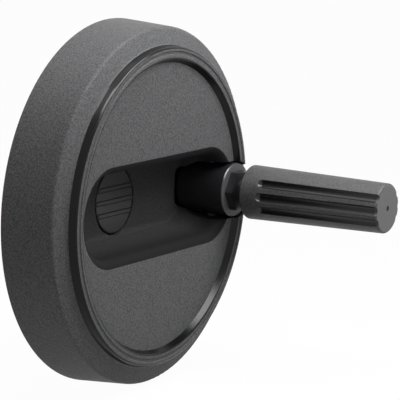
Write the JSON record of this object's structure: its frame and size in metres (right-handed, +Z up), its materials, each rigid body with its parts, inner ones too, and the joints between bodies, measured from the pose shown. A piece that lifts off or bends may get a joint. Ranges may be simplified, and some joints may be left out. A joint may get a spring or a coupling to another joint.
{
  "type": "machine handwheel",
  "caption": "Solid machine handwheel with a revolving handle that folds into a pocket across its face; it clamps on a shaft through a steel hub bush.",
  "frame": {"origin": "on the wheel's axis at the rear end of the shaft bore, level with the hub bush's rear face", "axes": "+Y along the wheel's axis out of the back, where the shaft comes in; the front looks along -Y; +X from the axis towards the handle; +Z up"},
  "size_m": [0.1598, 0.1272, 0.1598],
  "materials": {
    "wheel_plastic": "fine grained moulded black",
    "cap_plastic": "moulded black",
    "grip_plastic": "moulded black, satin",
    "block_steel": "smooth blackened",
    "spindle_steel": "turned and blackened",
    "bush_steel": "turned",
    "small_steel": "turned and hardened"
  },
  "bodies": {
    "wheel": {"wheel_body": "wheel_plastic", "hub_bush": "bush_steel", "hub_cap": "cap_plastic", "shaft_set_screw": "small_steel", "hinge_pins": "spindle_steel", "hinge_washers": "spindle_steel"},
    "handle": {"hinge_block": "block_steel", "handle_spindle": "spindle_steel", "grip_snap_ring": "small_steel"},
    "grip": {"handle_grip": "grip_plastic"}
  },
  "joints": [
    {"name": "handle_fold", "type": "hinge", "parent": "wheel", "child": "handle", "pos_m": [0.0615, -0.0372, 0], "axis": [0, 0, -1], "range_deg": [0, 90]},
    {"name": "grip_spin", "type": "hinge", "parent": "handle", "child": "grip", "pos_m": [0.0615, -0.0922, 0], "axis": [0, -1, 0], "continuous": true}
  ]
}
